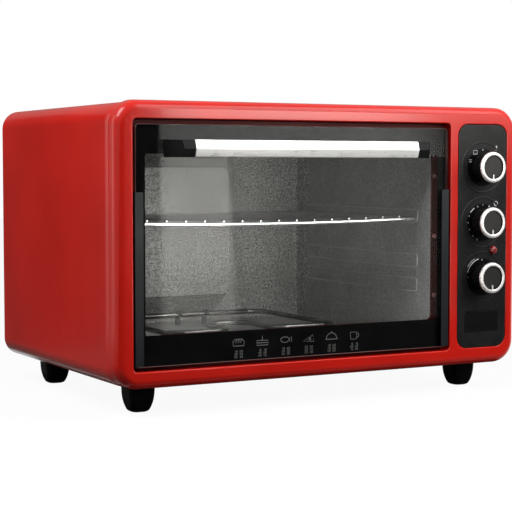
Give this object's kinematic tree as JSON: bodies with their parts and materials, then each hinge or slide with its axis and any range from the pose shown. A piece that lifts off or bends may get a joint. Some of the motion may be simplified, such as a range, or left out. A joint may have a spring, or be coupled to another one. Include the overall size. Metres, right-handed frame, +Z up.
{
  "type": "electric oven",
  "caption": "Countertop electric oven: rounded red case, drop-down glass door with a bar handle, wire rack, tubular heaters and a side panel of control knobs on square feet.",
  "frame": {"origin": "middle of the oven's outline seen from above, at the level of the feet's flat bottoms", "axes": "+X to the right seen from the front, towards the control panel; +Y to the back; +Z up; the door faces -Y"},
  "size_m": [0.53, 0.3936, 0.3405],
  "materials": {
    "red_paint": "glossy red enamel",
    "galvanised_steel": "dull galvanised sheet",
    "liner_steel": "mottled aluminised sheet",
    "heater_steel": "satin tube",
    "ceramic": "glazed ceramic and moulded housings",
    "chrome": "bright plated wire",
    "foot_plastic": "black moulded",
    "glass": "clear pane with a black printed border",
    "aluminium": "satin silver",
    "dark_steel": "satin dark grey",
    "black_plastic": "satin black moulded",
    "screw_steel": "zinc plated",
    "panel_plastic": "black moulded with white marks",
    "red_lens": "clear red lens",
    "rubber": "black grommet"
  },
  "bodies": {
    "oven": {"front_bezel": "red_paint", "outer_case": "red_paint", "bottom_plate": "galvanised_steel", "rear_cover": "galvanised_steel", "cavity_liner": "liner_steel", "lower_heater": "heater_steel", "lower_heater_terminal_left": "ceramic", "lower_heater_terminal_right": "ceramic", "lower_heater_post_left": "heater_steel", "lower_heater_post_right": "heater_steel", "upper_heater": "heater_steel", "upper_heater_terminal_left": "ceramic", "upper_heater_terminal_right": "ceramic", "upper_heater_post_left": "heater_steel", "upper_heater_post_right": "heater_steel", "foot_front_left": "foot_plastic", "foot_back_left": "foot_plastic", "foot_front_right": "foot_plastic", "foot_back_right": "foot_plastic", "hinge_pin_left": "screw_steel", "hinge_pin_right": "screw_steel", "control_panel": "panel_plastic", "badge_plate": "dark_steel", "indicator_lens": "red_lens", "indicator_lamp": "ceramic", "control_bracket": "galvanised_steel", "function_switch": "ceramic", "thermostat": "ceramic", "timer": "ceramic", "heat_shield": "galvanised_steel", "terminal_block": "ceramic", "cord_inlet": "rubber", "flange_screw_left_low": "screw_steel", "flange_screw_left_middle": "screw_steel", "flange_screw_left_high": "screw_steel", "flange_screw_right_low": "screw_steel", "flange_screw_right_middle": "screw_steel", "flange_screw_right_high": "screw_steel", "rear_screw_left_low": "screw_steel", "rear_screw_left_high": "screw_steel", "rear_screw_right_low": "screw_steel", "rear_screw_right_high": "screw_steel"},
    "door": {"door_glass": "glass", "handle_bar": "aluminium", "door_channel_left": "dark_steel", "door_channel_right": "dark_steel", "handle_bracket_left": "black_plastic", "handle_bracket_right": "black_plastic", "handle_screw_left": "screw_steel", "handle_screw_right": "screw_steel"},
    "rack": {"wire_rack": "chrome"},
    "function_control": {"function_knob": "black_plastic", "function_knob_ring": "aluminium", "function_shaft": "screw_steel"},
    "thermostat_control": {"thermostat_knob": "black_plastic", "thermostat_knob_ring": "aluminium", "thermostat_shaft": "screw_steel"},
    "timer_control": {"timer_knob": "black_plastic", "timer_knob_ring": "aluminium", "timer_shaft": "screw_steel"}
  },
  "joints": [
    {"name": "door_hinge", "type": "hinge", "parent": "oven", "child": "door", "pos_m": [-0.0393, -0.16325, 0.06], "axis": [1, 0, 0], "range_deg": [0, 90]},
    {"name": "rack_slide", "type": "slide", "parent": "oven", "child": "rack", "axis": [0, -1, 0], "range_m": [0, 0.15]},
    {"name": "function_turn", "type": "hinge", "parent": "oven", "child": "function_control", "pos_m": [0.21315, -0.17175, 0.2683], "axis": [0, 1, 0], "range_deg": [0, 270]},
    {"name": "thermostat_turn", "type": "hinge", "parent": "oven", "child": "thermostat_control", "pos_m": [0.21315, -0.17175, 0.2024], "axis": [0, 1, 0], "range_deg": [0, 270]},
    {"name": "timer_turn", "type": "hinge", "parent": "oven", "child": "timer_control", "pos_m": [0.21315, -0.17175, 0.1365], "axis": [0, 1, 0], "range_deg": [0, 300]}
  ],
  "couplings": [
    {"joint": "rack_slide", "follows": "door_hinge", "m_per_rad": 0.0954}
  ]
}
